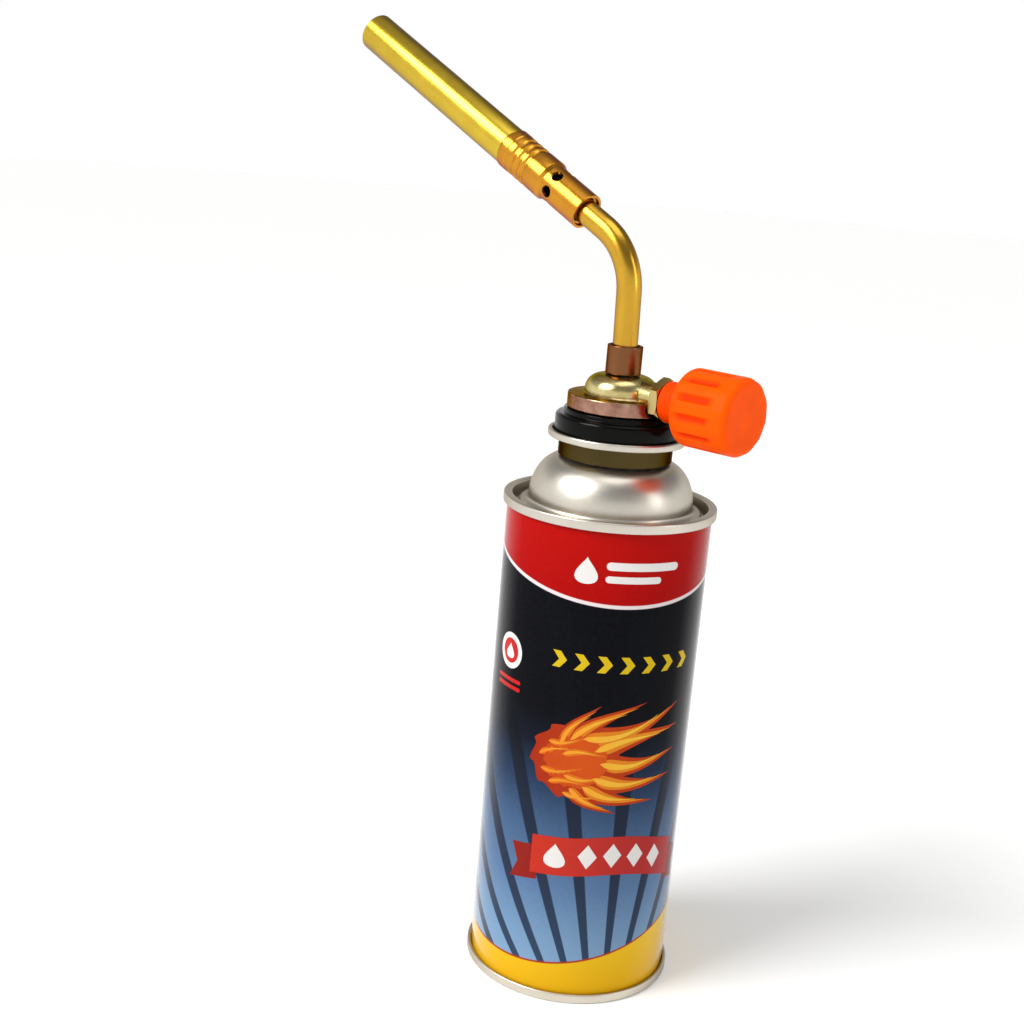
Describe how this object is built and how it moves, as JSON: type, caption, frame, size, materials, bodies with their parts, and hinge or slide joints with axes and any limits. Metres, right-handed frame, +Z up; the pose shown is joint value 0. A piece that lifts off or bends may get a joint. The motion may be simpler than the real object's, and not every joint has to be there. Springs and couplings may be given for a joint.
{
  "type": "butane torch",
  "caption": "Hand butane torch on a standing gas cartridge: bent brass neck, long burner tube with air mixer, side gas knob and bayonet coupling.",
  "frame": {"origin": "centre of the cartridge's base circle, on the plane that it stands on", "axes": "+Z up along the cartridge axis; the burner points up and toward -X +Y, the gas knob points level toward +X -Y; -Y is the front"},
  "size_m": [0.146, 0.1176, 0.3091],
  "materials": {
    "printed_tin": "glossy printed lacquer",
    "tinplate": "satin tinplate",
    "black_rubber": "matte",
    "white_plastic": "matte",
    "zinc_steel": "zinc plated",
    "black_plastic": "high gloss",
    "polished_brass": "polished",
    "pale_brass": "cast and polished",
    "brown_brass": "heat-browned",
    "amber_brass": "polished, darker tint",
    "sintered_bronze": "porous",
    "orange_plastic": "satin gloss"
  },
  "bodies": {
    "cartridge": {"can_body": "printed_tin", "can_bottom": "tinplate", "can_top_dome": "tinplate", "bayonet_collar": "tinplate", "valve_cup": "tinplate", "cup_gasket": "black_rubber", "valve_housing": "white_plastic", "stem_gasket": "black_rubber", "cartridge_valve_spring": "zinc_steel", "vapour_tube": "white_plastic"},
    "valve_stem": {"cartridge_valve_stem": "white_plastic"},
    "seal_carrier": {"coupling_seal": "black_rubber"},
    "torch_head": {"bayonet_plate": "zinc_steel", "coupling_ring": "black_plastic", "coupling_screw_1": "zinc_steel", "coupling_screw_2": "zinc_steel", "coupling_screw_3": "zinc_steel", "inlet_nozzle": "polished_brass", "inlet_filter": "sintered_bronze", "inlet_o_ring": "black_rubber", "valve_body": "pale_brass", "neck_ferrule": "brown_brass", "neck_tube": "polished_brass", "mixer_sleeve": "amber_brass", "gas_jet": "polished_brass", "burner_tube": "polished_brass", "flame_holder": "polished_brass", "packing_nut": "pale_brass"},
    "spindle_seal": {"spindle_o_ring": "black_rubber"},
    "knob_assembly": {"gas_knob": "orange_plastic", "knob_insert": "polished_brass", "gas_spindle": "zinc_steel"}
  },
  "joints": [
    {"name": "valve_stem_press", "type": "slide", "parent": "cartridge", "child": "valve_stem", "axis": [0, 0, -1], "range_m": [0, 0.0008], "stiffness_N_per_m": 1500, "deforming": ["cartridge_valve_spring"]},
    {"name": "head_lift", "type": "slide", "parent": "cartridge", "child": "seal_carrier", "axis": [0, 0, 1], "range_m": [0, 0.03]},
    {"name": "head_twist", "type": "hinge", "parent": "seal_carrier", "child": "torch_head", "pos_m": [0, 0, 0.1815], "axis": [0, 0, 1], "range_deg": [-60, 0]},
    {"name": "spindle_travel", "type": "slide", "parent": "torch_head", "child": "spindle_seal", "axis": [0.7934, -0.6088, 0], "range_m": [0, 0.00112]},
    {"name": "knob_turn", "type": "hinge", "parent": "spindle_seal", "child": "knob_assembly", "pos_m": [0, 0, 0.197], "axis": [0.7934, -0.6088, 0], "range_deg": [0, 540]}
  ],
  "couplings": [
    {"joint": "knob_turn", "follows": "spindle_travel", "rad_per_m": 8377.6}
  ]
}
